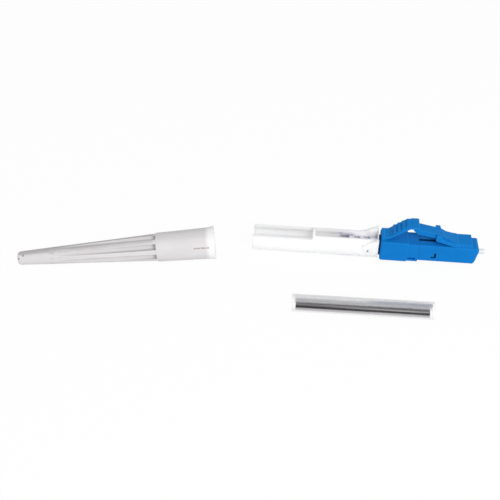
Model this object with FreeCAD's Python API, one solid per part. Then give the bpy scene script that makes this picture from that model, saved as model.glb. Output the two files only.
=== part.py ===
import FreeCAD, Part
import math
import os

from FreeCAD import Placement, Rotation, Vector

# Splice-on LC fibre connector, taken apart: plug with its splice body, boot, splice sleeve.
# X runs along the ferrule towards the nose, Z is up, and the origin lies on the ferrule's
# axis at the nose of the plug. The three groups lie on a surface at z = -BODY_R. Millimetres.

# Plug housing
PLUG = 4.52              # width and height of the plug
NOSE_SLANT = 1.0         # how far the bottom of the nose leans back
PLUG_END = -13.8         # rear end of the full-size plug
NECK = 4.1               # square neck that the clip grips
NECK_END = -19.0
FRONT_BORE_R = 1.5       # room for the adapter's sleeve round the ferrule
FRONT_BORE_END = -2.4
BULKHEAD_END = -3.2      # stop wall for the ferrule collar
BULKHEAD_R = 0.95
CHAMBER_R = 1.65         # spring chamber
BLOCK_FRONT = -1.6       # raised root block of the latch
BLOCK_REAR = -5.2
BLOCK_WIDTH = 4.2
BLOCK_HEIGHT = 0.99
TAB_REAR = -10.85        # snap tab in each side, freed by a slot in front of it and below it
TAB_SLOT_FRONT = -9.6
TAB_SLOT = 0.52
TAB_TOP = 0.22
TAB_BOTTOM = -1.36
TAB_RIDGE = 0.4          # length of the ridge that snaps into the backbone's groove
TOP_GROOVE_FRONT = -8.6  # groove along the top, under the latch
TOP_GROOVE_WIDTH = 0.84
TOP_GROOVE_DEPTH = 0.42
SNAP_GROOVE = (-11.0, -10.2)

# Latch arm, a leaf that bends at its root
LATCH_PIVOT = (BLOCK_REAR, 2.80)
LATCH_KNUCKLE_R = 0.46
LATCH_WIDTH = 2.8
LUG_WIDTH = 4.4

# Rear clip and its trigger
CLIP_WIDTH = 5.6
CLIP_TOP = 2.85
CLIP_BOTTOM = -2.55
CLIP_REAR = -22.85
CLIP_NECK = 0.4          # length of the round neck behind the clip
CLIP_NECK_R = 2.4
CLIP_STEP = -16.4        # the clip steps down to its front collar here
COLLAR_WIDTH = 5.2
COLLAR_TOP = 2.5
COLLAR_BOTTOM = -2.45
COLLAR_FRONT = -13.9
TRIGGER_WIDTH = 3.8
TRIGGER_PIVOT = (-21.9, 3.28)
TRIGGER_KNUCKLE_R = 0.38
TRIGGER_TOP = 7.05
TRIGGER_LIP = -14.3
RIBS = 3                 # stepped ribs below the flat top
RIB_WIDTH = 3.2
RIB_PITCH = 0.93
RIB_RISE = 0.66
KNUCKLE_GAP = 0.02       # between a knuckle and its socket

# Ferrule unit
FERRULE_R = 0.625
FERRULE_NECK_R = 0.42    # behind the nose, where the collar is pressed on
FERRULE_TIP = 1.95
FERRULE_REAR = -6.0
COLLAR_R = 1.5           # ferrule collar's head, hexagonal, over its corners
COLLAR_LENGTH = 1.5
TAIL_R = 0.85
TAIL_END = -8.0
SPRING_MEAN_R = 1.07
SPRING_WIRE_R = 0.15
SPRING_TURNS = 6.0

# Backbone, the stepped stub that closes the plug
BACKBONE_FRONT = -9.0
BACKBONE_BORE_R = 0.95
BACKBONE_END = -30.3
STUB_NECK_R = 1.3
STUB_RING_R = 1.75

# Splice body, a tube cut open along its top
BODY_R = 3.1
BODY_BORE_R = 2.3        # takes the splice sleeve as far as its stop
STOP_R = 1.85
SLEEVE_STOP = -32.0
BODY_FRONT = -23.35
BODY_END = -53.3
SPIGOT_R = 2.1
SPIGOT_END = -20.3
BRIDGE = (-39.0, -38.35)  # closed ring between the two openings
TAIL_RIM = 1.82          # height of the tail opening's rims
SLOT_HALF = 1.55         # half width of the middle opening
SLOT_FLOOR = 0.8
GUSSET_X = -27.2         # where the side walls begin to rise towards the clip
GUSSET_TOP = 3.3
SOCKET_END = -24.9       # front end of the wide bore
FLANGE = 0.5
WINDOW_AT = (-26.05, -0.3)   # small hole through the near wall, its rear and its bottom
WINDOW_SIZE = (0.42, 0.72)

# Boot, measured from its tip along its own axis
BOOT_TIP_R = 1.6
BOOT_BORE_R = 1.05
BOOT_BORE = 12.0
SHOULDER = 33.0
SHOULDER_R = 3.32
BOOT_COLLAR_R = 3.45
BOOT_LENGTH = 46.8
BOOT_LIP_R = 4.0
BOOT_SOCKET_R = 3.17
FLUTES = 8
FLUTE_R = 0.70
FLUTE_DEPTH = 0.8
FLUTE_LENGTH = 25.0
FLUTE_TURN = 6.0         # degrees that the boot is rolled about its axis
BOOT_TIP_AT = (-108.2, -12.5)
BOOT_YAW = 9.4

# Splice sleeve, a heat-shrink tube holding a hot-melt tube and a steel rod
SLEEVE_R = 2.0
SLEEVE_BORE_R = 1.78
SLEEVE_LENGTH = 31.2
ROD_R = 1.02
ROD_LENGTH = 29.6
MELT_R = 0.74
MELT_BORE_R = 0.45
MELT_LENGTH = 30.2
SLEEVE_AT = (-42.5, -21.5)
SLEEVE_YAW = 1.1

X_AXIS = Vector(1, 0, 0)
Y_AXIS = Vector(0, 1, 0)
Z_AXIS = Vector(0, 0, 1)


def bar_x(x_rear, x_front, width, bottom, top, round_r):
    """Bar along X with its long edges rounded."""
    corner = Vector(x_rear, -width / 2, bottom)
    bar = Part.makeBox(x_front - x_rear, width, top - bottom, corner)
    along = [e for e in bar.Edges if abs(e.tangentAt(e.FirstParameter).x) > 0.99]
    return bar.makeFillet(round_r, along)


def square_bar(x_rear, x_front, size, round_r):
    """Square bar along X, centred on the axis, with its long edges rounded."""
    return bar_x(x_rear, x_front, size, -size / 2, size / 2, round_r)


def rod_x(x_rear, x_front, radius):
    """Round bar along X on the axis."""
    return Part.makeCylinder(radius, x_front - x_rear, Vector(x_rear, 0, 0), X_AXIS)


def slab(points, width):
    """Side outline of (x, z) points, made width wide and centred on y = 0."""
    corners = [Vector(x, -width / 2, z) for x, z in points]
    outline = Part.makePolygon(corners + corners[:1])
    return Part.Face(outline).extrude(Vector(0, width, 0))


def knuckle(pivot, radius, width):
    """Round root across the part, centred on a pivot given as (x, z)."""
    x, z = pivot
    return Part.makeCylinder(radius, width, Vector(x, -width / 2, z), Y_AXIS)


def turned(profile):
    """Solid of revolution about X from (x, radius) points."""
    corners = [Vector(x, 0, r) for x, r in profile]
    face = Part.Face(Part.makePolygon(corners + corners[:1]))
    return face.revolve(Vector(0, 0, 0), X_AXIS, 360)


def front_housing():
    """Square plug with a leaning nose, the latch's root block, and a neck for the clip."""
    half = PLUG / 2
    side = [
        (PLUG_END, -half),
        (-NOSE_SLANT, -half),
        (-0.55 * NOSE_SLANT, -0.66 * half),
        (0.0, 0.62 * half),
        (0.0, 0.86 * half),
        (-0.35, half),
        (PLUG_END, half),
    ]
    body = slab(side, PLUG)
    long_edges = [
        e for e in body.Edges
        if len(e.Vertexes) == 2 and abs(e.tangentAt(e.FirstParameter).x) > 0.99 and e.Length > 5
    ]
    body = body.makeFillet(0.25, long_edges)
    block_length = BLOCK_FRONT - BLOCK_REAR
    block = Part.makeBox(
        block_length, BLOCK_WIDTH, BLOCK_HEIGHT + 0.3,
        Vector(BLOCK_REAR, -BLOCK_WIDTH / 2, half - 0.3),
    )
    top = half + BLOCK_HEIGHT
    long_top = [e for e in block.Edges if min(v.Z for v in e.Vertexes) > top - 0.01]
    front_and_sides = [e for e in long_top if e.BoundBox.XMax > BLOCK_REAR + 0.01]
    block = block.makeFillet(0.2, front_and_sides)
    undercut_depth = 0.12
    for sign in (-1, 1):
        y = sign * BLOCK_WIDTH / 2
        undercut = Part.makeBox(
            block_length, undercut_depth, 0.2,
            Vector(BLOCK_REAR, min(y, y - sign * undercut_depth), half),
        )
        block = block.cut(undercut)
    neck = square_bar(NECK_END, PLUG_END, NECK, 0.3)
    body = body.fuse([block, neck])
    body = body.cut(knuckle(LATCH_PIVOT, LATCH_KNUCKLE_R + KNUCKLE_GAP, BLOCK_WIDTH + 1))
    body = body.cut(rod_x(FRONT_BORE_END, 1.0, FRONT_BORE_R))
    body = body.cut(rod_x(BULKHEAD_END, FRONT_BORE_END, BULKHEAD_R))
    body = body.cut(rod_x(NECK_END - 1, BULKHEAD_END, CHAMBER_R))
    mouth = Part.makeCone(FRONT_BORE_R, FRONT_BORE_R + 0.5, 0.9, Vector(-0.7, 0, 0), X_AXIS)
    body = body.cut(mouth)
    groove = Part.makeBox(
        TOP_GROOVE_FRONT - PLUG_END, TOP_GROOVE_WIDTH, TOP_GROOVE_DEPTH + 0.1,
        Vector(PLUG_END, -TOP_GROOVE_WIDTH / 2, half - TOP_GROOVE_DEPTH),
    )
    body = body.cut(groove)
    # each side has a snap tab, free in front and below, with a ridge for the backbone's groove
    tab_length = TAB_SLOT_FRONT - TAB_REAR
    tab_height = TAB_TOP - TAB_BOTTOM
    inner_y = CHAMBER_R - 0.6
    depth = PLUG / 2 - inner_y + 0.1
    for y in (inner_y, -inner_y - depth):
        front_slot = Part.makeBox(
            TAB_SLOT, depth, tab_height, Vector(TAB_SLOT_FRONT - TAB_SLOT, y, TAB_BOTTOM),
        )
        lower_slot = Part.makeBox(tab_length, depth, TAB_SLOT, Vector(TAB_REAR, y, TAB_BOTTOM))
        body = body.cut([front_slot, lower_slot])
    ridge_zone = Part.makeBox(
        TAB_RIDGE, PLUG, tab_height - TAB_SLOT,
        Vector(SNAP_GROOVE[0] + 0.15, -PLUG / 2, TAB_BOTTOM + TAB_SLOT),
    )
    ring = rod_x(SNAP_GROOVE[0], SNAP_GROOVE[1], CHAMBER_R + 0.1)
    ring = ring.cut(rod_x(SNAP_GROOVE[0], SNAP_GROOVE[1], CHAMBER_R - 0.12))
    return body.fuse(ring.common(ridge_zone)).removeSplitter()


def latch_arm():
    """Rising leaf with a bevelled free end and a latching lug on each side."""
    x, z = LATCH_PIVOT
    r = LATCH_KNUCKLE_R
    leaf = slab([
        (x - 0.1, z - r),
        (x - 1.1, z - 0.25),
        (-10.1, 4.05),
        (-14.3, 4.85),
        (-15.5, 5.72),
        (-15.5, 6.22),
        (-15.35, 6.34),
        (-14.2, 6.10),
        (-10.25, 5.30),
        (-8.7, 4.75),
        (-7.4, 4.05),
        (x - 0.8, z + 0.75),
        (x - 0.1, z + r),
    ], LATCH_WIDTH)
    lugs = slab([
        (x - 0.1, z - r),
        (x - 0.8, z - r + 0.12),
        (-10.0, 3.70),
        (-10.2, 3.85),
        (-10.2, 5.12),
        (-10.05, 5.28),
        (-9.15, 5.25),
        (-8.75, 4.35),
        (-7.5, 3.65),
        (x - 0.6, z + r),
        (x - 0.1, z + r),
    ], LUG_WIDTH)
    # the lugs stand only at the sides of the leaf
    lugs = lugs.cut(Part.makeBox(4.0, LATCH_WIDTH, 2.0, Vector(-10.5, -LATCH_WIDTH / 2, 4.0)))
    root = knuckle(LATCH_PIVOT, r, BLOCK_WIDTH)
    arm = leaf.fuse([lugs, root]).removeSplitter()
    return arm


def rear_clip():
    """Square sleeve over the rear of the plug, stepped down at the front."""
    shell = bar_x(CLIP_REAR, CLIP_STEP, CLIP_WIDTH, CLIP_BOTTOM, CLIP_TOP, 0.35)
    front_rim = [e for e in shell.Edges if e.BoundBox.XMin > CLIP_STEP - 0.01]
    shell = shell.makeChamfer(0.15, front_rim)
    rear_rim = [e for e in shell.Edges if e.BoundBox.XMax < CLIP_REAR + 0.01]
    shell = shell.makeChamfer(0.3, rear_rim)
    collar = bar_x(CLIP_STEP - 0.5, COLLAR_FRONT, COLLAR_WIDTH, COLLAR_BOTTOM, COLLAR_TOP, 0.3)
    pad_x, pad_z = TRIGGER_PIVOT
    pad_top = pad_z + TRIGGER_KNUCKLE_R
    sink = 0.4
    pad = Part.makeBox(
        pad_x - CLIP_REAR - 0.15, TRIGGER_WIDTH, pad_top - CLIP_TOP + sink,
        Vector(CLIP_REAR + 0.15, -TRIGGER_WIDTH / 2, CLIP_TOP - sink),
    )
    clip = shell.fuse([collar, pad, rod_x(CLIP_REAR - CLIP_NECK, CLIP_REAR + 0.1, CLIP_NECK_R)])
    clip = clip.cut(knuckle(TRIGGER_PIVOT, TRIGGER_KNUCKLE_R + KNUCKLE_GAP, TRIGGER_WIDTH + 1))
    clip = clip.cut(square_bar(NECK_END - 1.15, COLLAR_FRONT + 1, NECK + 0.1, 0.3))
    clip = clip.cut(rod_x(CLIP_REAR - 1, NECK_END - 1.1, SPIGOT_R + 0.05))
    slot_rear = CLIP_STEP + 0.2
    slot_front = COLLAR_FRONT - 0.55
    slot = Part.makeBox(
        slot_front - slot_rear, COLLAR_WIDTH + 1, 0.75,
        Vector(slot_rear, -COLLAR_WIDTH / 2 - 0.5, -1.95),
    )
    return clip.cut(slot).removeSplitter()


def trigger_arm():
    """Ribbed anti-snag trigger that rises from the clip and ends in a lip over the latch."""
    x, z = TRIGGER_PIVOT
    r = TRIGGER_KNUCKLE_R
    arm = slab([
        (x, z),
        (x, z + r),
        (x + 0.75, z + r + 0.04),
        (-20.6, 4.05),
        (-18.3, 5.85),
        (-17.3, 6.60),
        (-16.4, TRIGGER_TOP - 0.15),
        (TRIGGER_LIP, TRIGGER_TOP - 0.15),
        (TRIGGER_LIP, 6.50),
        (-16.35, 6.50),
        (-17.2, 5.98),
        (-20.0, 4.05),
        (-20.7, 3.45),
        (x + 0.3, z - 0.2),
    ], TRIGGER_WIDTH)
    ribs = []
    for i in range(RIBS):
        crest_x = -20.0 + i * RIB_PITCH
        crest_z = 5.10 + i * RIB_RISE
        ribs.append(slab([
            (crest_x - 0.40, crest_z - 0.85),
            (crest_x - 0.10, crest_z - 0.10),
            (crest_x + 0.04, crest_z),
            (crest_x + 0.46, crest_z + 0.06),
            (crest_x + 0.56, crest_z - 0.06),
            (crest_x + 0.62, crest_z - 0.55),
        ], RIB_WIDTH))
    # the last rib and the lip share one flat top, with a groove between them
    flat_rear = crest_x + RIB_PITCH
    for front, rear, width in (
        (flat_rear + 0.85, flat_rear, RIB_WIDTH),
        (TRIGGER_LIP, flat_rear + 1.15, TRIGGER_WIDTH),
    ):
        ribs.append(slab([
            (rear - 0.10, TRIGGER_TOP - 0.50),
            (rear, TRIGGER_TOP - 0.10),
            (rear + 0.12, TRIGGER_TOP),
            (front - 0.15, TRIGGER_TOP),
            (front, TRIGGER_TOP - 0.12),
            (front, TRIGGER_TOP - 0.40),
        ], width))
    root = knuckle(TRIGGER_PIVOT, r, TRIGGER_WIDTH)
    return arm.fuse(ribs + [root]).removeSplitter()


def ferrule():
    """Zirconia ferrule with a rounded, bevelled tip; the part inside its collar is relieved."""
    bevel = 0.3
    fibre_hole_r = 0.13
    return turned([
        (FERRULE_REAR, fibre_hole_r),
        (FERRULE_REAR, FERRULE_NECK_R),
        (FRONT_BORE_END + 0.2, FERRULE_NECK_R),
        (FRONT_BORE_END + 0.2, FERRULE_R),
        (FERRULE_TIP - bevel, FERRULE_R),
        (FERRULE_TIP - 0.03, 0.42),
        (FERRULE_TIP, 0.25),
        (FERRULE_TIP, fibre_hole_r),
    ])


def ferrule_collar():
    """Hexagonal head with a tube behind it, pressed on the ferrule."""
    head_rear = BULKHEAD_END - COLLAR_LENGTH
    corners = [
        Vector(head_rear, COLLAR_R * math.cos(a), COLLAR_R * math.sin(a))
        for a in (math.radians(60 * i) for i in range(6))
    ]
    head = Part.Face(Part.makePolygon(corners + corners[:1])).extrude(Vector(COLLAR_LENGTH, 0, 0))
    tip = Part.makeCone(COLLAR_R + 0.3, COLLAR_R - 0.25, 0.55, Vector(BULKHEAD_END - 0.55, 0, 0), X_AXIS)
    barrel = rod_x(head_rear, BULKHEAD_END - 0.55, COLLAR_R + 0.3)
    head = head.common(tip.fuse(barrel))
    tail = rod_x(TAIL_END, head_rear, TAIL_R)
    part = head.fuse(tail).cut(rod_x(TAIL_END - 1, FERRULE_REAR, 0.45))
    return part.cut(rod_x(FERRULE_REAR, 0, FERRULE_NECK_R)).removeSplitter()


def guide_tube():
    """Thin tube that leads the fibre out through the spring and the backbone."""
    tube = rod_x(BACKBONE_END - 1.2, FERRULE_REAR, 0.45)
    return tube.cut(rod_x(BACKBONE_END - 2, FERRULE_REAR + 1, 0.2))


def fibre():
    """Factory-mounted fibre, from the ferrule's tip to its cleaved end in the splice body."""
    return rod_x(BACKBONE_END - 1.3, FERRULE_TIP, 0.125)


def coil_spring():
    """Open coil between the ferrule collar and the backbone."""
    front = BULKHEAD_END - COLLAR_LENGTH - SPRING_WIRE_R
    length = front - BACKBONE_FRONT - SPRING_WIRE_R
    pitch = length / SPRING_TURNS
    path = Part.makeHelix(pitch, length, SPRING_MEAN_R)
    corners = [
        Vector(SPRING_MEAN_R + SPRING_WIRE_R * math.cos(a), 0, SPRING_WIRE_R * math.sin(a))
        for a in (math.radians(60 * i) for i in range(6))
    ]
    section = Part.makePolygon(corners + corners[:1])
    coil = Part.Wire(path.Edges).makePipeShell([section], True, False)
    coil.Placement = Placement(Vector(front, 0, 0), Rotation(Y_AXIS, -90))
    return coil


def backbone():
    """Tube that snaps into the plug, a square shoulder, and the ringed stub in the splice body."""
    part = turned([
        (BACKBONE_FRONT, BACKBONE_BORE_R),
        (BACKBONE_FRONT, CHAMBER_R - 0.15),
        (BACKBONE_FRONT - 0.15, CHAMBER_R),
        (SNAP_GROOVE[1], CHAMBER_R),
        (SNAP_GROOVE[1], CHAMBER_R - 0.2),
        (SNAP_GROOVE[0], CHAMBER_R - 0.2),
        (SNAP_GROOVE[0], CHAMBER_R),
        (-25.3, CHAMBER_R),
        (-25.3, STUB_NECK_R),
        (-26.8, STUB_NECK_R),
        (-26.8, STUB_RING_R - 0.1),
        (-26.9, STUB_RING_R),
        (-27.7, STUB_RING_R),
        (-27.8, STUB_RING_R - 0.1),
        (-27.8, STUB_NECK_R),
        (-29.05, STUB_NECK_R),
        (-29.05, STUB_RING_R - 0.1),
        (-29.15, STUB_RING_R),
        (BACKBONE_END + 0.1, STUB_RING_R),
        (BACKBONE_END, STUB_RING_R - 0.1),
        (BACKBONE_END, BACKBONE_BORE_R),
    ])
    shoulder = square_bar(NECK_END - 1.05, NECK_END, NECK, 0.3)
    shoulder = shoulder.cut(rod_x(NECK_END - 2, NECK_END + 1, CHAMBER_R - 0.3))
    part = part.fuse(shoulder)
    return part.cut(rod_x(BACKBONE_END - 1, 0, BACKBONE_BORE_R)).removeSplitter()


def splice_body():
    """Tube cut open along its top, with a bridge between its openings and walls that rise to the clip."""
    tube = rod_x(BODY_END, BODY_FRONT, BODY_R)
    gussets = slab([
        (GUSSET_X, 0),
        (GUSSET_X, 1.6),
        (BODY_FRONT - FLANGE - 0.1, GUSSET_TOP - 0.25),
        (BODY_FRONT - FLANGE, GUSSET_TOP),
        (BODY_FRONT, GUSSET_TOP),
        (BODY_FRONT, 0),
    ], 2 * BODY_R)
    between = Part.makeBox(
        BODY_FRONT - GUSSET_X + 2, 2 * BODY_BORE_R, GUSSET_TOP + 2, Vector(GUSSET_X - 1, -BODY_BORE_R, -1),
    )
    part = tube.fuse([gussets.cut(between), rod_x(BODY_FRONT, SPIGOT_END, SPIGOT_R)])
    # a fine groove sets the front flange off from the tube
    groove_x = BODY_FRONT - FLANGE - 0.15
    groove = rod_x(groove_x, groove_x + 0.15, BODY_R + 2).cut(rod_x(groove_x, groove_x + 0.15, BODY_R - 0.1))
    groove = groove.common(Part.makeBox(1, 10, BODY_R, Vector(groove_x, -5, -BODY_R)))
    part = part.cut(groove)
    part = part.cut(rod_x(BODY_END - 1, SLEEVE_STOP, BODY_BORE_R))
    part = part.cut(rod_x(SLEEVE_STOP - 1, SOCKET_END, STOP_R))
    part = part.cut(rod_x(SOCKET_END - 1, SPIGOT_END + 1, CHAMBER_R + 0.08))
    # the tail is an open channel with low rims
    tail = Part.makeBox(
        BRIDGE[0] - BODY_END + 1, 2 * BODY_R + 2, BODY_R + 1,
        Vector(BODY_END - 1, -BODY_R - 1, TAIL_RIM),
    )
    part = part.cut(tail)
    # the middle opening is a narrower slot that runs up to the front rim
    slot = Part.makeBox(
        BODY_FRONT - FLANGE / 2 - BRIDGE[1], 2 * SLOT_HALF, BODY_R + 1,
        Vector(BRIDGE[1], -SLOT_HALF, SLOT_FLOOR),
    )
    window = Part.makeBox(
        WINDOW_SIZE[0], BODY_R - BODY_BORE_R + 0.5, WINDOW_SIZE[1],
        Vector(WINDOW_AT[0], -BODY_R - 0.1, WINDOW_AT[1]),
    )
    return part.cut([slot, window]).removeSplitter()


def on_surface(shape, at, yaw, lift, pitch=0.0):
    """Lays a shape built along X, its start at the origin, on the surface."""
    turn = Rotation(Z_AXIS, yaw).multiply(Rotation(Y_AXIS, -pitch))
    shape.Placement = Placement(Vector(at[0], at[1], lift - BODY_R), turn)
    return shape


def boot():
    """Fluted, tapered strain relief that widens to a round collar with a flared mouth."""
    tip_r = 0.55
    body = turned([
        (0, BOOT_BORE_R),
        (0, BOOT_TIP_R - tip_r),
        (0.16, BOOT_TIP_R - 0.2),
        (tip_r, BOOT_TIP_R),
        (SHOULDER, SHOULDER_R),
        (SHOULDER, BOOT_COLLAR_R - 0.08),
        (SHOULDER + 0.15, BOOT_COLLAR_R),
        (BOOT_LENGTH - 3.4, BOOT_COLLAR_R + 0.25),
        (BOOT_LENGTH - 1.4, BOOT_COLLAR_R + 0.33),
        (BOOT_LENGTH - 0.5, BOOT_LIP_R - 0.05),
        (BOOT_LENGTH - 0.15, BOOT_LIP_R),
        (BOOT_LENGTH, BOOT_LIP_R - 0.12),
        (BOOT_LENGTH, BOOT_SOCKET_R + 0.35),
        (BOOT_LENGTH - 0.8, BOOT_SOCKET_R),
        (SHOULDER + 1.6, BOOT_SOCKET_R),
        (SHOULDER + 1.6, 2.1),
        (SHOULDER - 1.5, 2.0),
        (BOOT_BORE, BOOT_BORE_R),
    ])
    # each flute is deepest at the shoulder and runs out towards the tip
    slope = (SHOULDER_R - BOOT_TIP_R) / (SHOULDER - tip_r)
    start_r = SHOULDER_R - FLUTE_DEPTH + FLUTE_R
    end_r = SHOULDER_R - slope * FLUTE_LENGTH + FLUTE_R
    axis = Vector(-FLUTE_LENGTH, 0, end_r - start_r)
    cutters = []
    for i in range(FLUTES):
        cutter = Part.makeCylinder(FLUTE_R, axis.Length, Vector(SHOULDER - 0.02, 0, start_r), axis)
        cutter.rotate(Vector(0, 0, 0), X_AXIS, 360 / FLUTES * i + FLUTE_TURN)
        cutters.append(cutter)
    body = body.cut(cutters)
    vent = Part.makeCylinder(0.22, 2 * BOOT_TIP_R, Vector(1.5, 0, 0), Z_AXIS)
    vent.rotate(Vector(0, 0, 0), X_AXIS, 34)
    body = body.cut(vent)
    pitch = math.atan2(BOOT_COLLAR_R - BOOT_TIP_R, SHOULDER + 0.15 - tip_r)
    lift = BOOT_TIP_R * math.cos(pitch) - tip_r * math.sin(pitch)
    return on_surface(body, BOOT_TIP_AT, BOOT_YAW, lift, math.degrees(pitch))


def sleeve_piece(radius, bore_r, length, height):
    """Tube or rod of the splice sleeve, centred along it, with its axis at a height in its bore."""
    start = (SLEEVE_LENGTH - length) / 2
    piece = Part.makeCylinder(radius, length, Vector(start, 0, height), X_AXIS)
    if bore_r > 0:
        piece = piece.cut(Part.makeCylinder(bore_r, length, Vector(start, 0, height), X_AXIS))
    return on_surface(piece, SLEEVE_AT, SLEEVE_YAW, SLEEVE_R)


def outer_tube():
    """Clear heat-shrink tube."""
    return sleeve_piece(SLEEVE_R, SLEEVE_BORE_R, SLEEVE_LENGTH, 0)


def steel_rod():
    """Stiffening rod, at the bottom of the heat-shrink tube."""
    return sleeve_piece(ROD_R, 0, ROD_LENGTH, ROD_R - SLEEVE_BORE_R)


def melt_tube():
    """Hot-melt tube that the fibres pass through, on top of the rod."""
    return sleeve_piece(MELT_R, MELT_BORE_R, MELT_LENGTH, 2 * ROD_R - SLEEVE_BORE_R + MELT_R)


PIECES = [
    front_housing, latch_arm, rear_clip, trigger_arm, ferrule, ferrule_collar, guide_tube, fibre,
    coil_spring, backbone, splice_body, boot, outer_tube, steel_rod, melt_tube,
]


def main():
    os.makedirs("parts", exist_ok=True)
    for piece in PIECES:
        shape = piece()
        solids = shape.Solids
        if len(solids) != 1 or not shape.isValid():
            raise ValueError(f"{piece.__name__} is not one valid solid: {len(solids)} found")
        solids[0].exportStep(f"parts/{piece.__name__}.step")
        print(f"{piece.__name__:16s} {solids[0].Volume:9.3f} mm3")


main()
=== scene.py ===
"""Dresses the splice-on fibre connector: moulded plug, splice body, boot and clear splice sleeve."""

import math

import bpy
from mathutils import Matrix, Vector


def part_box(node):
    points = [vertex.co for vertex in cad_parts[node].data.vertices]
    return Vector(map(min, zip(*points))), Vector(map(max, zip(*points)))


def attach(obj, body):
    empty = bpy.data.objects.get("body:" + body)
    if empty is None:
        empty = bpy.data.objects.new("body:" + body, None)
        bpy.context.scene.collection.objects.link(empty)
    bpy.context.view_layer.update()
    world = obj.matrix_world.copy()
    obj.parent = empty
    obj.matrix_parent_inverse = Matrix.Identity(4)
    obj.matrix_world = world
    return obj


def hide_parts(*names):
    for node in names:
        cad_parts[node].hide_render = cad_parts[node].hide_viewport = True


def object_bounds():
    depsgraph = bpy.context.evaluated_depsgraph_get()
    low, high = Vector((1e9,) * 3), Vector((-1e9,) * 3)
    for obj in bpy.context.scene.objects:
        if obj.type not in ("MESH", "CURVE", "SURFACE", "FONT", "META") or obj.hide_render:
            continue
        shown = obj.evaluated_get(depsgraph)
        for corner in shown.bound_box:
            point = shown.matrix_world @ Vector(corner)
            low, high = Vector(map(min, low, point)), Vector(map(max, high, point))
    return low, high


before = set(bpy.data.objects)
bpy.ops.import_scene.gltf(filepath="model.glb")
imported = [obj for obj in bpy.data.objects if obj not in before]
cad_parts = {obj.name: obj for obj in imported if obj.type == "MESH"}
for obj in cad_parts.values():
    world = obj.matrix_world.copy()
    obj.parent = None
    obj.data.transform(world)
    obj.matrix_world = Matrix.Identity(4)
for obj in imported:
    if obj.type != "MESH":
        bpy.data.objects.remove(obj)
cad_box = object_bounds()

bl_info = {
    "name": "Splice-on Fibre Connector",
    "version": (1, 0, 0),
    "blender": (4, 5, 0),
    "location": "View3D > Sidebar > Connector",
    "description": "Materials, splice sleeve and stage of a fibre connector laid out in its pieces",
    "category": "Object",
}

MM = 0.001
BODY = "connector"

# How high the bumps of moulded and of drawn skins stand, and the angle up to which faces shade smooth.
GRAIN_DISTANCE = 0.01 * MM
LINE_DISTANCE = 0.004 * MM
SMOOTH_ANGLE = math.radians(40)

# Sockets of a Mix node that mixes colours.
MIX_FACTOR = 0
MIX_BELOW = 6
MIX_ABOVE = 7
MIX_RESULT = 2

# Splice sleeve: its turn on the table in degrees, its walls, and the colours of its clear plastics, with
# painted shade on the shrink tube, this high above the rod before it fades, and painted reflection on the
# melt tube.
SLEEVE_TURN = 1.1
SHRINK_WALL = 0.22 * MM
MELT_WALL = 0.29 * MM
FILM_TONE = (0.67, 0.67, 0.685)
SHADE_STRIP_TONE = (0.45, 0.45, 0.465)
SHADE_STRIP_HEIGHT = 0.35 * MM
SHADE_STRIP_FADE = 0.50 * MM
MELT_TONE = (0.74, 0.75, 0.78)
REFLECTION_STREAK_TONE = (0.26, 0.30, 0.40)

# Bands of painted reflection along the rod, from its lower front to its upper back: (place from 0 to 1,
# brightness). The tilt is how far they lean back from upright, in degrees, to suit the camera's view, and
# ROD_END the plain length at each end.
REFLECTION_BAND_TILT = 39.0
ROD_REFLECTION_BANDS = (
    (0.0, 0.90), (0.16, 0.85), (0.26, 0.50), (0.32, 0.03), (0.48, 0.02), (0.53, 0.12), (0.60, 0.22),
    (0.68, 0.38), (0.76, 0.38), (0.81, 0.18), (0.87, 0.18), (0.92, 0.50), (1.0, 0.60),
)
ROD_END = 0.12 * MM

# Boot: the middle of its tip, its turn, the radii of its cone, and the distances of its shoulder and its
# mouth from the tip. Painted shade darkens its faces that look along the last axis here: up, and about 20
# degrees to the back.
BOOT_TIP = (-108.2 * MM, -12.5 * MM, -1.534 * MM)
BOOT_TURN = (0, math.radians(-3.25), math.radians(9.4))
BOOT_TIP_R = 1.6 * MM
BOOT_CONE_START = 0.55 * MM
BOOT_SHOULDER_R = 3.32 * MM
BOOT_SHOULDER = 33.0 * MM
BOOT_LENGTH = 46.8 * MM
BOOT_SHADE_AXIS = (0, 0.342, 0.940)

# Recesses of the plug, all with painted shade but the slot near the bottom of the clip, which has painted
# light: low corner and high corner in millimetres, then the factor on the plug's colour.
PLUG_RECESS_LIGHT_AND_SHADE = (
    ((-13.9, -0.44, 1.7), (-8.5, 0.44, 2.20), 0.20),    # groove under the latch
    ((-11.2, -2.2, -1.6), (-8.8, 2.2, 0.4), 0.60),      # slots round the snap tabs
    ((-16.3, -2.5, -2.1), (-14.3, 2.5, -1.0), 1.2),     # slot near the bottom of the clip
    ((-23.4, -3, -3), (-22.88, 3, 3), 0.15),            # neck behind the clip
)

# Painted shade in parts of the splice body's bore: low corner and high corner in millimetres, then the
# amount.
BORE_SHADES = (
    ((-34.5, -2.28, -2.4), (-29.5, 2.28, 1.6), 0.12),
    ((-31.8, -1.9, -2.4), (-29.5, 1.9, 1.2), 0.55),
    ((-25.5, -1.6, -2.4), (-23.6, 1.6, 1.9), 0.25),
)
BORE_SHADE_TONE = (0.30, 0.28, 0.40)

# Part of the backbone inside the plug, painted dark as shade: low corner and high corner in millimetres.
INSIDE_PLUG = ((-20.0, -3, -3), (0, 3, 3))

# Stage: floor and lamps in metres; the camera's place, aim, lens and sensor in millimetres.
FLOOR_SIZE = 3.0
FLOOR_GAP = 0.02 * MM
LAMP_AIM = (-0.05, 0, 0)
KEY_AT = (0.09, -0.33, 0.28)
KEY_SIZE = (0.22, 0.16)
TOP_AT = (-0.02, -0.17, 0.33)
TOP_SIZE = (0.20, 0.16)
CAMERA_AT = (-37.76, -152.60, 119.71)
CAMERA_AIM = (-53.92, -2.34, -2.8)
CAMERA_LENS = 57.6
CAMERA_SENSOR = 36.0
CAMERA_SHIFT = 0.002


# ---------------------------------------------------------------- settings


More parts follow.
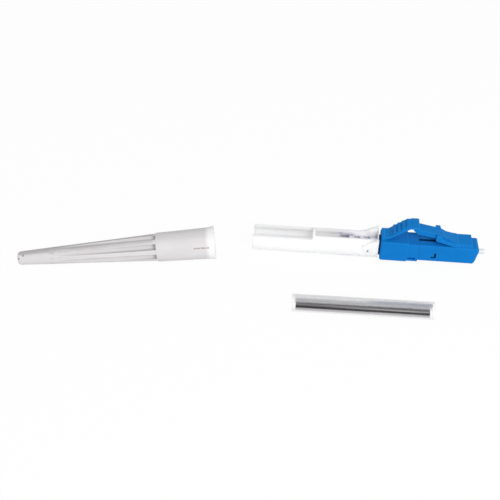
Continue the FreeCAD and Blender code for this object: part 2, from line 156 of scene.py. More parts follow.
class ConnectorColours(bpy.types.PropertyGroup):
    """Colours of the moulded and drawn materials."""

    plug: bpy.props.FloatVectorProperty(
        name="Plug", description="Plastic of the plug, latch, clip and trigger",
        default=(0.004, 0.184, 0.555), size=3, min=0.0, max=1.0, subtype="COLOR",
    )
    splice_body: bpy.props.FloatVectorProperty(
        name="Splice body", description="White plastic of the open splice body",
        default=(0.95, 0.95, 0.953), size=3, min=0.0, max=1.0, subtype="COLOR",
    )
    backbone: bpy.props.FloatVectorProperty(
        name="Backbone", description="Plastic of the stub inside the splice body",
        default=(0.70, 0.69, 0.78), size=3, min=0.0, max=1.0, subtype="COLOR",
    )
    boot: bpy.props.FloatVectorProperty(
        name="Boot", description="Soft plastic of the strain relief boot",
        default=(0.675, 0.655, 0.665), size=3, min=0.0, max=1.0, subtype="COLOR",
    )
    rod: bpy.props.FloatVectorProperty(
        name="Rod", description="Steel of the stiffening rod, before its bands",
        default=(0.62, 0.61, 0.63), size=3, min=0.0, max=1.0, subtype="COLOR",
    )


class ConnectorSizes(bpy.types.PropertyGroup):
    """Sizes of the splice sleeve's details."""

    tube_lip: bpy.props.FloatProperty(
        name="Tube lip", description="Rounding of the clear tubes' cut ends",
        default=0.07 * MM, min=0.02 * MM, max=0.1 * MM, unit="LENGTH",
    )
    rod_round: bpy.props.FloatProperty(
        name="Rod rounding", description="Rounding of the steel rod's ends",
        default=0.12 * MM, min=0.02 * MM, max=0.4 * MM, unit="LENGTH",
    )


class ConnectorStage(bpy.types.PropertyGroup):
    """Light of the lamps and the room."""

    key_power: bpy.props.FloatProperty(
        name="Key lamp", description="Power of the large lamp in front",
        default=1.20, min=0.0, unit="POWER",
    )
    top_power: bpy.props.FloatProperty(
        name="Top lamp", description="Power of the lamp above",
        default=0.06, min=0.0, unit="POWER",
    )
    sky: bpy.props.FloatProperty(
        name="Room light", description="Strength of the even light of the room",
        default=0.54, min=0.0, max=1.0,
    )


def settings(name):
    """One of the scene's groups of settings."""
    return getattr(bpy.context.scene, "connector_" + name)


# ---------------------------------------------------------------- node groups


def new_group(name, inputs, outputs):
    """Empty shader node group with float inputs (name, default) and outputs (name, kind)."""
    group = bpy.data.node_groups.new(name, "ShaderNodeTree")
    for label, value in inputs:
        socket = group.interface.new_socket(label, in_out="INPUT", socket_type="NodeSocketFloat")
        socket.default_value = value
    for label, kind in outputs:
        group.interface.new_socket(label, in_out="OUTPUT", socket_type="NodeSocket" + kind)
    return group, group.nodes.new("NodeGroupInput"), group.nodes.new("NodeGroupOutput")


def feed(tree, entry, value):
    """Links a node's input to a socket, or sets it to a constant."""
    if isinstance(value, bpy.types.NodeSocket):
        tree.links.new(value, entry)
    else:
        entry.default_value = value


def math_node(tree, operation, a, b=0.0):
    """Math node with each input a number or a socket; returns its output."""
    node = tree.nodes.new("ShaderNodeMath")
    node.operation = operation
    for entry, value in zip(node.inputs, (a, b)):
        feed(tree, entry, value)
    return node.outputs[0]


def product(tree, *values):
    """Values multiplied together."""
    total = values[0]
    for value in values[1:]:
        total = math_node(tree, "MULTIPLY", total, value)
    return total


def noise(tree, vector, scale, detail, roughness=0.5):
    """Noise texture on a vector; returns its factor."""
    node = tree.nodes.new("ShaderNodeTexNoise")
    node.inputs["Detail"].default_value = detail
    node.inputs["Roughness"].default_value = roughness
    feed(tree, node.inputs["Scale"], scale)
    tree.links.new(vector, node.inputs["Vector"])
    return node.outputs["Fac"]


def remap(tree, value, low, high, new_low, new_high):
    """Map Range from low..high to new_low..new_high, clamped."""
    node = tree.nodes.new("ShaderNodeMapRange")
    tree.links.new(value, node.inputs["Value"])
    for label, number in (("From Min", low), ("From Max", high), ("To Min", new_low), ("To Max", new_high)):
        node.inputs[label].default_value = number
    return node.outputs["Result"]


def centred(tree, factor, spread=0.2, size=1.0):
    """A noise factor round one half, stretched to -size..size over its usual spread."""
    return remap(tree, factor, 0.5 - spread, 0.5 + spread, -size, size)


def stretched(tree, scale, turn=0.0):
    """Object coordinates stretched, then turned back about Z by an angle in degrees."""
    coordinates = tree.nodes.new("ShaderNodeTexCoord")
    mapping = tree.nodes.new("ShaderNodeMapping")
    mapping.inputs["Scale"].default_value = scale
    mapping.inputs["Rotation"].default_value = (0, 0, -math.radians(turn))
    tree.links.new(coordinates.outputs["Object"], mapping.inputs["Vector"])
    return mapping.outputs["Vector"]


def moulded_skin_group():
    """Fine spark-eroded grain, faint flow streaks along the moulding, and a slow change of tone."""
    group, entry, out = new_group(
        "Moulded Skin",
        [("Grain", 5200.0), ("Grain Height", 1.0), ("Streaks", 0.3), ("Mottle", 0.5)],
        [("Tone", "Float"), ("Roughness Shift", "Float"), ("Height", "Float")],
    )
    streaks = entry.outputs["Streaks"]
    even = stretched(group, (1, 1, 1))
    grain = noise(group, even, entry.outputs["Grain"], 3, 0.6)
    streak = noise(group, stretched(group, (0.12, 1, 1)), 900.0, 2)
    cloud = noise(group, even, 160.0, 2)
    cloud_part = product(group, centred(group, cloud), entry.outputs["Mottle"])
    streak_part = product(group, centred(group, streak, 0.15), streaks)
    group.links.new(math_node(group, "ADD", cloud_part, streak_part), out.inputs["Tone"])
    rough = math_node(group, "ADD", product(group, centred(group, grain), 0.5), cloud_part)
    group.links.new(rough, out.inputs["Roughness Shift"])
    height = math_node(
        group, "ADD", product(group, grain, entry.outputs["Grain Height"]), product(group, streak, streaks),
    )
    group.links.new(height, out.inputs["Height"])
    return group


def drawn_metal_group():
    """Fine lines left along X by drawing, and a light change of shine."""
    group, entry, out = new_group(
        "Drawn Metal",
        [("Turn", 0.0), ("Lines", 1.0)],
        [("Tone", "Float"), ("Roughness Shift", "Float"), ("Height", "Float")],
    )
    coordinates = group.nodes.new("ShaderNodeTexCoord")
    turn = group.nodes.new("ShaderNodeVectorRotate")
    turn.rotation_type = "Z_AXIS"
    group.links.new(coordinates.outputs["Object"], turn.inputs["Vector"])
    group.links.new(entry.outputs["Turn"], turn.inputs["Angle"])
    mapping = group.nodes.new("ShaderNodeMapping")
    mapping.inputs["Scale"].default_value = (0.01, 1, 1)
    group.links.new(turn.outputs["Vector"], mapping.inputs["Vector"])
    lines = noise(group, mapping.outputs["Vector"], 4500.0, 3, 0.6)
    cloud = noise(group, coordinates.outputs["Object"], 120.0, 2)
    line_part = product(group, centred(group, lines), entry.outputs["Lines"])
    rough = math_node(group, "ADD", centred(group, cloud, size=0.5), line_part)
    group.links.new(line_part, out.inputs["Tone"])
    group.links.new(rough, out.inputs["Roughness Shift"])
    group.links.new(lines, out.inputs["Height"])
    return group


def own_frame(tree, location, rotation):
    """Object coordinates moved into a piece's own frame, given by its place and turn."""
    coordinates = tree.nodes.new("ShaderNodeTexCoord")
    mapping = tree.nodes.new("ShaderNodeMapping")
    mapping.vector_type = "TEXTURE"
    mapping.inputs["Location"].default_value = location
    mapping.inputs["Rotation"].default_value = rotation
    tree.links.new(coordinates.outputs["Object"], mapping.inputs["Vector"])
    split = tree.nodes.new("ShaderNodeSeparateXYZ")
    tree.links.new(mapping.outputs["Vector"], split.inputs[0])
    return split.outputs


def band(tree, value, low, high, soft):
    """One between low and high, falling to zero over the soft width at each side."""
    return product(
        tree, remap(tree, value, low - soft, low, 0, 1), remap(tree, value, high, high + soft, 1, 0),
    )


def edge_catch_group():
    """Mask of the outer edges, where a moulding catches the light."""
    group, entry, out = new_group("Edge Catch", [("Radius", 0.1 * MM)], [("Mask", "Float")])
    bevel = group.nodes.new("ShaderNodeBevel")
    bevel.samples = 6
    group.links.new(entry.outputs["Radius"], bevel.inputs["Radius"])
    geometry = group.nodes.new("ShaderNodeNewGeometry")
    dot = group.nodes.new("ShaderNodeVectorMath")
    dot.operation = "DOT_PRODUCT"
    group.links.new(bevel.outputs["Normal"], dot.inputs[0])
    group.links.new(geometry.outputs["Normal"], dot.inputs[1])
    group.links.new(remap(group, dot.outputs["Value"], 0.985, 0.85, 0, 1), out.inputs["Mask"])
    return group


def boot_marks_and_shade_group():
    """Masks of the boot: darker flute hollows, painted shadow at their ends, the pale mouth, a rubbed mark
    and a painted hole shade.
    """
    group, entry, out = new_group(
        "Boot Marks and Shade", [("Amount", 1.0)],
        [(label, "Float") for label in ("Hollow", "End Shadow", "Mouth", "Mark", "Hole Shade")],
    )
    amount = entry.outputs["Amount"]
    along, side, up = own_frame(group, BOOT_TIP, BOOT_TURN)[:3]
    square = math_node(group, "ADD", product(group, side, side), product(group, up, up))
    reach = math_node(group, "SQRT", square)
    cone = remap(group, along, BOOT_CONE_START, BOOT_SHOULDER, BOOT_TIP_R, BOOT_SHOULDER_R)
    depth = math_node(group, "SUBTRACT", cone, reach)
    hollow = product(
        group, remap(group, depth, 0.01 * MM, 0.10 * MM, 0, 1),
        remap(group, along, 1.5 * MM, 3.0 * MM, 0, 1),
        remap(group, along, BOOT_SHOULDER + 0.02 * MM, BOOT_SHOULDER + 0.05 * MM, 1, 0), amount,
    )
    front_side = remap(group, side, -0.1 * MM, 0.0, 1, 0)
    scratch = noise(group, stretched(group, (1, 1, 1)), 2600.0, 2)
    masks = {
        "Hollow": hollow,
        "End Shadow": product(
            group, hollow, remap(group, along, BOOT_SHOULDER - 1.1 * MM, BOOT_SHOULDER - 0.5 * MM, 0, 1),
        ),
        "Mouth": remap(group, along, BOOT_LENGTH - 2.2 * MM, BOOT_LENGTH - 1.2 * MM, 0, 1),
        "Mark": product(
            group, band(group, along, 42.0 * MM, 45.4 * MM, 0.2 * MM),
            band(group, up, 1.25 * MM, 1.45 * MM, 0.12 * MM), front_side,
            remap(group, scratch, 0.36, 0.55, 0.2, 1), amount,
        ),
        "Hole Shade": product(
            group, band(group, along, 0.36 * MM, 0.56 * MM, 0.06 * MM),
            band(group, up, 0.70 * MM, 0.96 * MM, 0.08 * MM), front_side,
        ),
    }
    for label, mask in masks.items():
        group.links.new(mask, out.inputs[label])
    return group


# ---------------------------------------------------------------- materials


def middle_of(node):
    """Middle of a CAD node's box."""
    low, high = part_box(node)
    return (Vector(low) + Vector(high)) / 2


def insides(material):
    """A material's node tree and its Principled shader."""
    tree = material.node_tree
    return tree, tree.nodes["Principled BSDF"]


def start_material(name):
    """Material with a Principled BSDF; returns the material, its tree and the shader."""
    material = bpy.data.materials.new(name)
    material.use_nodes = True
    return material, *insides(material)


def skin_node(tree, group, values):
    """Group node with its inputs set."""
    node = tree.nodes.new("ShaderNodeGroup")
    node.node_tree = group
    for label, value in values.items():
        node.inputs[label].default_value = value
    return node


def mix_colours(tree, factor, below, above, blend="MIX"):
    """Mixes two colours, each a tuple or a socket, by a factor; returns the mixed colour."""
    node = tree.nodes.new("ShaderNodeMix")
    node.data_type = "RGBA"
    node.blend_type = blend
    feed(tree, node.inputs[MIX_FACTOR], factor)
    for entry, colour in ((MIX_BELOW, below), (MIX_ABOVE, above)):
        feed(tree, node.inputs[entry], (*colour, 1) if isinstance(colour, tuple) else colour)
    return node.outputs[MIX_RESULT]


def wire_surface(tree, shader, skin, low, high, rough, rough_swing, bump):
    """Colour between low and high by the group's tone, roughness round a middle, and a bump."""
    colour = mix_colours(tree, remap(tree, skin.outputs["Tone"], -1, 1, 0, 1), low, high)
    tree.links.new(colour, shader.inputs["Base Color"])
    rough_out = remap(tree, skin.outputs["Roughness Shift"], -1, 1, rough - rough_swing, rough + rough_swing)
    tree.links.new(rough_out, shader.inputs["Roughness"])
    node = tree.nodes.new("ShaderNodeBump")
    node.inputs["Strength"].default_value = bump[0]
    node.inputs["Distance"].default_value = bump[1]
    tree.links.new(skin.outputs["Height"], node.inputs["Height"])
    tree.links.new(node.outputs["Normal"], shader.inputs["Normal"])


def shade(colour, factor):
    """The colour made lighter or darker."""
    return tuple(min(1.0, c * factor) for c in colour)


def tint(tree, shader, mask, colour):
    """Mixes a colour over the shader's base colour where the mask is one."""
    base = shader.inputs["Base Color"]
    tree.links.new(mix_colours(tree, mask, base.links[0].from_socket, colour), base)


def box_mask(tree, low, high, soft):
    """One inside a box of object coordinates, in millimetres, and zero outside it."""
    coordinates = tree.nodes.new("ShaderNodeTexCoord")
    split = tree.nodes.new("ShaderNodeSeparateXYZ")
    tree.links.new(coordinates.outputs["Object"], split.inputs[0])
    sides = [
        band(tree, split.outputs[axis], low[axis] * MM, high[axis] * MM, soft * MM) for axis in range(3)
    ]
    return product(tree, *sides)


def facing_up(tree):
    """One on faces that look up or a little to the back, falling to zero on steep ones; it places the boot's
    painted shade.
    """
    geometry = tree.nodes.new("ShaderNodeNewGeometry")
    dot = tree.nodes.new("ShaderNodeVectorMath")
    dot.operation = "DOT_PRODUCT"
    dot.inputs[1].default_value = BOOT_SHADE_AXIS
    tree.links.new(geometry.outputs["Normal"], dot.inputs[0])
    return remap(tree, dot.outputs["Value"], 0.55, 0.76, 0, 1)


def moulded_material(name, colour, group, rough=0.38, swing=0.07, contrast=0.06, grain=5200.0, bump=0.25,
                     specular=0.4, subsurface=0.0, glow_depth=0.4 * MM):
    """Moulded plastic with a fine grained skin; light runs glow_depth into it if it has subsurface."""
    material, tree, shader = start_material(name)
    skin = skin_node(tree, group, {"Grain": grain})
    wire_surface(
        tree, shader, skin, shade(colour, 1 - contrast), shade(colour, 1 + contrast), rough, swing,
        (bump, GRAIN_DISTANCE),
    )
    shader.inputs["Specular IOR Level"].default_value = specular
    if subsurface > 0:
        shader.inputs["Subsurface Weight"].default_value = subsurface
        shader.inputs["Subsurface Radius"].default_value = (1.0, 0.95, 0.9)
        shader.inputs["Subsurface Scale"].default_value = glow_depth
    return material


def metal_material(name, colour, group, rough, turn=0.0, lines=1.0):
    """Drawn or turned metal; the turn in degrees leads its lines along the piece."""
    material, tree, shader = start_material(name)
    skin = skin_node(tree, group, {"Turn": -math.radians(turn), "Lines": lines})
    wire_surface(
        tree, shader, skin, shade(colour, 0.9), shade(colour, 1.1), rough, 0.04, (0.12, LINE_DISTANCE),
    )
    shader.inputs["Metallic"].default_value = 1.0
    return material


def rod_frame(tree):
    """Coordinates in the rod's own frame: X along it, and Z leaning back as its painted reflection bands do.
    """
    turn = (math.radians(-REFLECTION_BAND_TILT), 0, math.radians(SLEEVE_TURN))
    return own_frame(tree, middle_of("steel_rod"), turn)


def reflection_band_ramp(tree, place):
    """Colour ramp of the rod's painted reflection bands on a place from 0 to 1."""
    ramp = tree.nodes.new("ShaderNodeValToRGB")
    elements = ramp.color_ramp.elements
    for band_place, _ in ROD_REFLECTION_BANDS[1:-1]:
        elements.new(band_place)
    for element, (_, level) in zip(elements, ROD_REFLECTION_BANDS):
        element.color = (level, level * 0.97, level * 0.98, 1)
    tree.links.new(place, ramp.inputs["Fac"])
    return ramp.outputs["Color"]


def rod_material(name, colour, group, radius, half):
    """Drawn steel with bright and dark bands of painted reflection along its barrel. Its ends are plain."""
    material = metal_material(name, colour, group, 0.4, SLEEVE_TURN)
    tree, shader = insides(material)
    base = shader.inputs["Base Color"]
    local = rod_frame(tree)
    barrel = band(tree, local["X"], ROD_END - half, half - ROD_END, 0.03 * MM)
    # Bands of painted reflection across the barrel.
    wander = noise(tree, stretched(tree, (0.02, 1, 1), SLEEVE_TURN), 900.0, 2)
    across = math_node(tree, "ADD", local["Z"], centred(tree, wander, size=0.07 * radius))
    reflection_bands = reflection_band_ramp(tree, remap(tree, across, -radius, radius, 0, 1))
    tree.links.new(mix_colours(tree, barrel, base.links[0].from_socket, reflection_bands, "MULTIPLY"), base)
    return material


def clear_material(name, tone, group, rough, body, rim):
    """Thin clear plastic: see-through face on, denser where it is seen edge on."""
    material, tree, shader = start_material(name)
    skin = skin_node(tree, group, {"Grain": 900.0, "Streaks": 0.5})
    wire_surface(tree, shader, skin, shade(tone, 0.97), tone, rough, rough * 0.5, (0.08, GRAIN_DISTANCE))
    facing = tree.nodes.new("ShaderNodeLayerWeight")
    facing.inputs["Blend"].default_value = 0.15
    tree.links.new(remap(tree, facing.outputs["Facing"], 0, 1, body, rim), shader.inputs["Alpha"])
    shader.inputs["Specular IOR Level"].default_value = 0.2
    return material


def thicken(tree, shader, mask, amount):
    """Makes a clear material denser by an amount where the mask is one."""
    alpha = shader.inputs["Alpha"]
    before = alpha.links[0].from_socket
    tree.links.new(math_node(tree, "ADD", before, product(tree, mask, amount)), alpha)


def film_material(group, radius, half):
    """Clear shrink tube with a strip of painted shade above the rod, and clearer below it."""
    film = clear_material("Clear Shrink Tube", FILM_TONE, group, 0.12, 0.0, 0.95)
    tree, shader = insides(film)
    local = rod_frame(tree)
    rise = local["Z"]
    shade_strip_top = radius + SHADE_STRIP_HEIGHT
    # A strip of painted shade above the rod.
    shade_strip = product(
        tree, remap(tree, rise, radius - 0.1 * MM, radius, 0, 1),
        remap(tree, rise, shade_strip_top, shade_strip_top + SHADE_STRIP_FADE, 1, 0),
        band(tree, local["X"], -half, half, 0.1 * MM),
    )
    tint(tree, shader, shade_strip, SHADE_STRIP_TONE)
    alpha = shader.inputs["Alpha"]
    lower_part = remap(tree, rise, -1.2 * radius, 0.6 * radius, 0.45, 1)
    tree.links.new(product(tree, alpha.links[0].from_socket, lower_part), alpha)
    thicken(tree, shader, shade_strip, 0.33)
    return film


def melt_material(group):
    """Milky hot-melt tube with a streak of painted reflection on the upper side of its half towards +X."""
    plastic = clear_material("Hot Melt", MELT_TONE, group, 0.3, 0.07, 0.6)
    tree, shader = insides(plastic)
    local = own_frame(tree, middle_of("melt_tube"), (0, 0, math.radians(SLEEVE_TURN)))
    patches = noise(tree, stretched(tree, (0.08, 1, 1), SLEEVE_TURN), 700.0, 2)
    # A streak of painted reflection on the upper side.
    reflection_streak = product(
        tree, remap(tree, local["X"], -2 * MM, 3 * MM, 0, 1),
        remap(tree, local["Z"], 0.25 * MM, 0.45 * MM, 0, 1), remap(tree, patches, 0.35, 0.55, 0.35, 1),
    )
    tint(tree, shader, reflection_streak, REFLECTION_STREAK_TONE)
    thicken(tree, shader, reflection_streak, 0.5)
    return plastic


def dress(node, material):
    """Puts one material on every slot of a CAD node, or of a new piece."""
    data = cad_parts[node].data if isinstance(node, str) else node.data
    if not data.materials:
        data.materials.append(material)
    for index in range(len(data.materials)):
        data.materials[index] = material


# ---------------------------------------------------------------- modelling


def deselect():
    """Leaves edit mode and selects nothing."""
    if bpy.context.object and bpy.context.object.mode != "OBJECT":
        bpy.ops.object.mode_set(mode="OBJECT")
    bpy.ops.object.select_all(action="DESELECT")


def turned_ring(name, profile, steps):
    """Closed ring-shaped solid: an outline of (x, radius) points, joined end to end, spun about X."""
    deselect()
    x, radius = profile[0]
    bpy.ops.mesh.primitive_circle_add(
        vertices=steps, radius=radius, location=(0, 0, 0), rotation=(0, math.pi / 2, 0),
    )
    piece = bpy.context.object
    piece.name = piece.data.name = name
    bpy.ops.object.transform_apply(location=True, rotation=True, scale=True)
    bpy.ops.object.mode_set(mode="EDIT")
    bpy.ops.mesh.select_all(action="SELECT")
    bpy.ops.transform.translate(value=(x, 0, 0))
    for next_x, next_radius in profile[1:] + profile[:1]:
        bpy.ops.mesh.extrude_region_move(TRANSFORM_OT_translate={"value": (next_x - x, 0, 0)})
        factor = next_radius / radius
        bpy.ops.transform.resize(value=(1, factor, factor), center_override=(next_x, 0, 0))
        x, radius = next_x, next_radius
    bpy.ops.mesh.select_all(action="SELECT")
    bpy.ops.mesh.remove_doubles(threshold=0.001 * MM)
    bpy.ops.mesh.normals_make_consistent(inside=False)
    bpy.ops.object.mode_set(mode="OBJECT")
    return piece


def place(piece, node):
    """Turns a piece made along X as the sleeve lies and moves it to a CAD node, leaving that in its mesh."""
    piece.select_set(True)
    bpy.context.view_layer.objects.active = piece
    piece.rotation_euler = (0, 0, math.radians(SLEEVE_TURN))
    piece.location = middle_of(node)
    bpy.ops.object.transform_apply(location=True, rotation=True, scale=True)
    bpy.ops.object.shade_smooth_by_angle(angle=SMOOTH_ANGLE)


def radius_of(node):
    """Radius of a round sleeve piece, from its height."""
    low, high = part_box(node)
    return (high[2] - low[2]) / 2


def half_of(node):
    """Half the length of a round sleeve piece, from its box and how it is turned."""
    low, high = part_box(node)
    turn = math.radians(SLEEVE_TURN)
    return ((high[0] - low[0]) / 2 - radius_of(node) * math.sin(turn)) / math.cos(turn)


def rod_profile(half, radius, soft):
    """Outline of a rod with rounded ends, round a hair-thin hole on its axis."""
    shoulder = [(0.0, radius - soft), (soft * 0.3, radius - soft * 0.3), (soft, radius)]
    rear = [(-half, radius * 0.02)] + [(-half + inward, r) for inward, r in shoulder]
    return rear + [(-x, r) for x, r in reversed(rear)]


def tube_profile(half, bore_r, outer_r, lip):
    """Outline of a tube whose cut ends are softly rounded."""
    wall = outer_r - bore_r
    lip = min(lip, wall * 0.45)
    corner = [(0.0, 1.0), (0.3, 0.3), (1.0, 0.0)]
    points = []
    for sign in (1, -1):
        outer = [(sign * (half - lip * a), outer_r - lip * b) for a, b in reversed(corner)]
        inner = [(sign * (half - lip * a), bore_r + lip * b) for a, b in corner]
        points += (outer + inner)[::sign]
    return points


def tube(name, node, wall, lip, steps):
    """Tube with rounded ends, of a CAD node's length, radius and place."""
    radius = radius_of(node)
    piece = turned_ring(name, tube_profile(half_of(node), radius - wall, radius, lip), steps)
    place(piece, node)
    return piece


class CONNECTOR_OT_sleeve(bpy.types.Operator):
    """Clear shrink tube, hot-melt tube and steel rod of the splice sleeve"""

    bl_idname = "connector.sleeve"
    bl_label = "Splice Sleeve"

    def execute(self, context):
        sizes = settings("sizes")
        skins = bpy.data.node_groups
        rod_r = radius_of("steel_rod")
        half = half_of("steel_rod")
        shrink = tube("shrink_tube", "outer_tube", SHRINK_WALL, sizes.tube_lip, steps=96)
        dress(shrink, film_material(skins["Moulded Skin"], rod_r, half))
        melt = tube("hot_melt_tube", "melt_tube", MELT_WALL, sizes.tube_lip, steps=64)
        dress(melt, melt_material(skins["Moulded Skin"]))
        rod = turned_ring("stiffening_rod", rod_profile(half, rod_r, sizes.rod_round), steps=96)
        place(rod, "steel_rod")
        dress(rod, rod_material("Polished Rod", settings("colours").rod, skins["Drawn Metal"], rod_r, half))
        for piece, node, slot in (
            (shrink, "outer_tube", "clear_tube"), (melt, "melt_tube", "melt_plastic"),
            (rod, "steel_rod", "bright_steel"),
        ):
            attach(piece, BODY)
            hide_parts(node)
        return {"FINISHED"}


class CONNECTOR_OT_plug(bpy.types.Operator):
    """Finish of the plug, latch, clip and trigger"""

    bl_idname = "connector.plug"
    bl_label = "Plug and Trigger"

    def execute(self, context):
        colour = settings("colours").plug
        group = bpy.data.node_groups["Moulded Skin"]
        blue = moulded_material(
            "Blue Moulding", colour, group, rough=0.42, contrast=0.05, bump=0.2, specular=0.05,
        )
        tree, shader = insides(blue)
        edges = skin_node(tree, bpy.data.node_groups["Edge Catch"], {"Radius": 0.22 * MM})
        # Painted highlight along the edges.
        tint(tree, shader, product(tree, edges.outputs["Mask"], 0.8), (0.02, 0.28, 0.72))
        # Painted shade in the recesses, and painted light in the slot near the bottom of the clip.
        for low, high, factor in PLUG_RECESS_LIGHT_AND_SHADE:
            tint(tree, shader, box_mask(tree, low, high, soft=0.02), shade(colour, factor))
        for node in ("front_housing", "rear_clip", "latch_arm", "trigger_arm"):
            dress(node, blue)
        return {"FINISHED"}


class CONNECTOR_OT_ferrule(bpy.types.Operator):
    """Finish of the ferrule, its collar, guide tube, fibre and spring"""

    bl_idname = "connector.ferrule"
    bl_label = "Ferrule Unit"

    def execute(self, context):
        skin = bpy.data.node_groups["Moulded Skin"]
        metal = bpy.data.node_groups["Drawn Metal"]
        dress("ferrule", moulded_material(
            "Polished Zirconia", (0.74, 0.76, 0.77), skin, rough=0.14, swing=0.03, contrast=0.02, bump=0.03,
            subsurface=0.3,
        ))
        dress("ferrule_collar", metal_material("Nickel Plate", (0.72, 0.70, 0.66), metal, 0.22))
        dress("coil_spring", metal_material("Spring Wire", (0.62, 0.62, 0.64), metal, 0.2, lines=0.6))
        dress("guide_tube", moulded_material(
            "Waxy Tube", (0.88, 0.88, 0.84), skin, rough=0.4, grain=2600.0, subsurface=0.4,
        ))
        dress("fibre", clear_material("Coated Glass", (0.90, 0.93, 0.96), skin, 0.05, 0.35, 0.9))
        return {"FINISHED"}


class CONNECTOR_OT_splice_body(bpy.types.Operator):
    """Finish of the white splice body and the stub inside it"""

    bl_idname = "connector.splice_body"
    bl_label = "Splice Body"

    def execute(self, context):
        skin = bpy.data.node_groups["Moulded Skin"]
        colours = settings("colours")
        white = moulded_material(
            "White Moulding", colours.splice_body, skin, rough=0.36, contrast=0.02, bump=0.15,
            subsurface=0.85, glow_depth=1.2 * MM,
        )
        tree, shader = insides(white)
        # Painted shade in parts of the bore.
        for low, high, amount in BORE_SHADES:
            shaded = product(tree, box_mask(tree, low, high, soft=0.9), amount)
            tint(tree, shader, shaded, BORE_SHADE_TONE)
        dress("splice_body", white)
        pale = moulded_material(
            "Pale Moulding", colours.backbone, skin, rough=0.3, contrast=0.04, bump=0.15, subsurface=0.2,
        )
        tree, shader = insides(pale)
        # Painted shade on the part of the backbone inside the plug.
        tint(tree, shader, box_mask(tree, *INSIDE_PLUG, soft=0.3), (0.02, 0.05, 0.12))
        dress("backbone", pale)
        return {"FINISHED"}


class CONNECTOR_OT_boot(bpy.types.Operator):
    """Finish of the strain relief boot"""

    bl_idname = "connector.boot"
    bl_label = "Boot"

    def execute(self, context):
        skin = bpy.data.node_groups["Moulded Skin"]
        colour = settings("colours").boot
        soft = moulded_material(
            "Soft White Moulding", colour, skin, rough=0.55, contrast=0.04, grain=3800.0, bump=0.3,
            subsurface=0.2,
        )
        tree, shader = insides(soft)
        marks_and_shade = skin_node(tree, bpy.data.node_groups["Boot Marks and Shade"], {"Amount": 1.0})
        edges = skin_node(tree, bpy.data.node_groups["Edge Catch"], {"Radius": 0.12 * MM})
        along = own_frame(tree, BOOT_TIP, BOOT_TURN)["X"]
        # Painted shade on faces that look up, weaker past the shoulder.
        painted_top_shade = product(
            tree, facing_up(tree), remap(tree, along, BOOT_SHOULDER - 1 * MM, BOOT_SHOULDER, 1, 0.2),
        )
        # Tints on the boot: darker flute hollows, painted highlight on the edges, painted shade on faces
        # that look up, painted shadow at the flute ends, the pale mouth, a rubbed mark, and a black spot of
        # painted shade for a small hole.
        for mask, amount, tone in (
            (marks_and_shade.outputs["Hollow"], 0.6, shade(colour, 0.86)),
            (edges.outputs["Mask"], 0.7, (0.90, 0.89, 0.895)),
            (painted_top_shade, 0.9, shade(colour, 0.66)),
            (marks_and_shade.outputs["End Shadow"], 0.7, shade(colour, 0.45)),
            (marks_and_shade.outputs["Mouth"], 0.9, (0.88, 0.88, 0.885)),
            (marks_and_shade.outputs["Mark"], 0.8, (0.30, 0.22, 0.18)),
            (marks_and_shade.outputs["Hole Shade"], 1.0, (0.05, 0.05, 0.05)),
        ):
            tint(tree, shader, product(tree, mask, amount), tone)
        dress("boot", soft)
        return {"FINISHED"}


# ---------------------------------------------------------------- stage


def white_for_view(tree, surface, output, weight):
    """Mixes a plain white into a material or world where the camera, a gloss or a clear piece sees it."""
    path = tree.nodes.new("ShaderNodeLightPath")
    seen = math_node(tree, "MAXIMUM", path.outputs["Is Camera Ray"], path.outputs["Is Transmission Ray"])
    seen = math_node(tree, "MAXIMUM", seen, path.outputs["Is Glossy Ray"])
    white = tree.nodes.new("ShaderNodeEmission" if output == "Surface" else "ShaderNodeBackground")
    white.inputs["Color"].default_value = (1, 1, 1, 1)
    white.inputs["Strength"].default_value = 1.0
    mix = tree.nodes.new("ShaderNodeMixShader")
    tree.links.new(math_node(tree, "MULTIPLY", seen, weight), mix.inputs[0])
    tree.links.new(surface, mix.inputs[1])
    tree.links.new(white.outputs[0], mix.inputs[2])
    return mix.outputs[0]


def area_lamp(name, location, target, size, power):
    """Rectangular area lamp aimed at a point."""
    data = bpy.data.lights.new(name, "AREA")
    data.shape = "RECTANGLE"
    data.size, data.size_y = size
    data.energy = power
    lamp = bpy.data.objects.new(name, data)
    bpy.context.scene.collection.objects.link(lamp)
    lamp.location = location
    lamp.rotation_euler = (Vector(target) - Vector(location)).to_track_quat("-Z", "Y").to_euler()


def board_material():
    """Matt white board of the floor."""
    material, tree, shader = start_material("White Board")
    shader.inputs["Roughness"].default_value = 0.9
    shader.inputs["Specular IOR Level"].default_value = 0.0
    value = remap(tree, noise(tree, stretched(tree, (1, 1, 1)), 400.0, 2), 0.3, 0.7, 0.88, 0.9)
    colour = tree.nodes.new("ShaderNodeCombineColor")
    for label in ("Red", "Green", "Blue"):
        tree.links.new(value, colour.inputs[label])
    tree.links.new(colour.outputs["Color"], shader.inputs["Base Color"])
    surface = white_for_view(tree, shader.outputs[0], "Surface", 0.95)
    tree.links.new(surface, tree.nodes["Material Output"].inputs["Surface"])
    return material


def add_floor():
    """Large board just under the pieces."""
    low, high = cad_box
    deselect()
    bpy.ops.mesh.primitive_plane_add(
        size=FLOOR_SIZE, location=((low[0] + high[0]) / 2, (low[1] + high[1]) / 2, low[2] - FLOOR_GAP),
    )
    floor = bpy.context.object
    floor.name = floor.data.name = "floor"
    bpy.ops.object.transform_apply(location=True, rotation=True, scale=True)
    dress(floor, board_material())


def light_room(strength):
    """Even white light from all round, and a plain white to look at."""
    world = bpy.data.worlds.new("Room")
    world.use_nodes = True
    tree = world.node_tree
    room = tree.nodes["Background"]
    room.inputs["Color"].default_value = (1, 1, 1, 1)
    room.inputs["Strength"].default_value = strength
    surface = white_for_view(tree, room.outputs[0], "World", 1.0)
    tree.links.new(surface, tree.nodes["World Output"].inputs["Surface"])
    bpy.context.scene.world = world


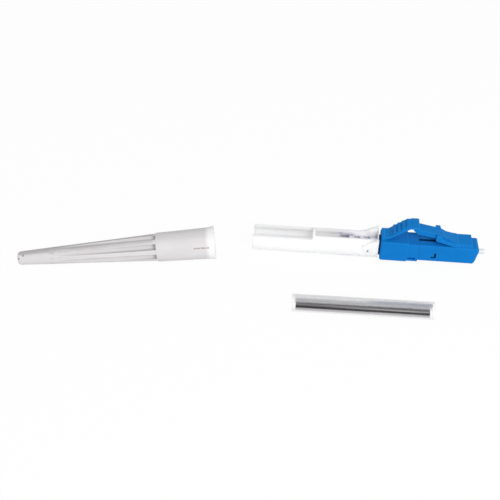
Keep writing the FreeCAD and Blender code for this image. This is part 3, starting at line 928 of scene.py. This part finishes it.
def add_camera():
    """Camera above and in front of the pieces."""
    data = bpy.data.cameras.new("camera")
    data.sensor_width = CAMERA_SENSOR
    data.lens = CAMERA_LENS
    data.clip_start, data.clip_end = 0.01, 10.0
    data.shift_y = CAMERA_SHIFT
    camera = bpy.data.objects.new("camera", data)
    bpy.context.scene.collection.objects.link(camera)
    camera.location = Vector(CAMERA_AT) * MM
    aim = Vector(CAMERA_AIM) * MM - camera.location
    camera.rotation_euler = aim.to_track_quat("-Z", "Y").to_euler()
    bpy.context.scene.camera = camera


class CONNECTOR_OT_stage(bpy.types.Operator):
    """Camera, pale floor, room light and lamps"""

    bl_idname = "connector.stage"
    bl_label = "Stage"

    def execute(self, context):
        stage = settings("stage")
        add_floor()
        light_room(stage.sky)
        area_lamp("key", KEY_AT, LAMP_AIM, KEY_SIZE, stage.key_power)
        area_lamp("top", TOP_AT, LAMP_AIM, TOP_SIZE, stage.top_power)
        add_camera()
        context.scene.view_settings.view_transform = "Standard"
        return {"FINISHED"}


class CONNECTOR_PT_panel(bpy.types.Panel):
    """Buttons that dress the connector"""

    bl_label = "Fibre Connector"
    bl_idname = "CONNECTOR_PT_panel"
    bl_space_type = "VIEW_3D"
    bl_region_type = "UI"
    bl_category = "Connector"

    def draw(self, context):
        layout = self.layout
        for name in GROUPS:
            group = settings(name)
            box = layout.box()
            for label in group.__annotations__:
                box.prop(group, label)
        for operator in OPERATORS:
            layout.operator(operator.bl_idname)


GROUPS = {"colours": ConnectorColours, "sizes": ConnectorSizes, "stage": ConnectorStage}
OPERATORS = (
    CONNECTOR_OT_stage, CONNECTOR_OT_plug, CONNECTOR_OT_ferrule, CONNECTOR_OT_splice_body, CONNECTOR_OT_boot,
    CONNECTOR_OT_sleeve,
)


def register():
    """Registers the settings, operators and panel."""
    for name, group in GROUPS.items():
        bpy.utils.register_class(group)
        setattr(bpy.types.Scene, "connector_" + name, bpy.props.PointerProperty(type=group))
    for operator in OPERATORS:
        bpy.utils.register_class(operator)
    bpy.utils.register_class(CONNECTOR_PT_panel)


def unregister():
    """Takes them out again."""
    bpy.utils.unregister_class(CONNECTOR_PT_panel)
    for operator in reversed(OPERATORS):
        bpy.utils.unregister_class(operator)
    for name, group in GROUPS.items():
        delattr(bpy.types.Scene, "connector_" + name)
        bpy.utils.unregister_class(group)


def main():
    """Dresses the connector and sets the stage."""
    register()
    moulded_skin_group()
    drawn_metal_group()
    edge_catch_group()
    boot_marks_and_shade_group()
    bpy.ops.connector.stage()
    bpy.ops.connector.plug()
    bpy.ops.connector.ferrule()
    bpy.ops.connector.splice_body()
    bpy.ops.connector.boot()
    bpy.ops.connector.sleeve()


if __name__ == "__main__":
    main()
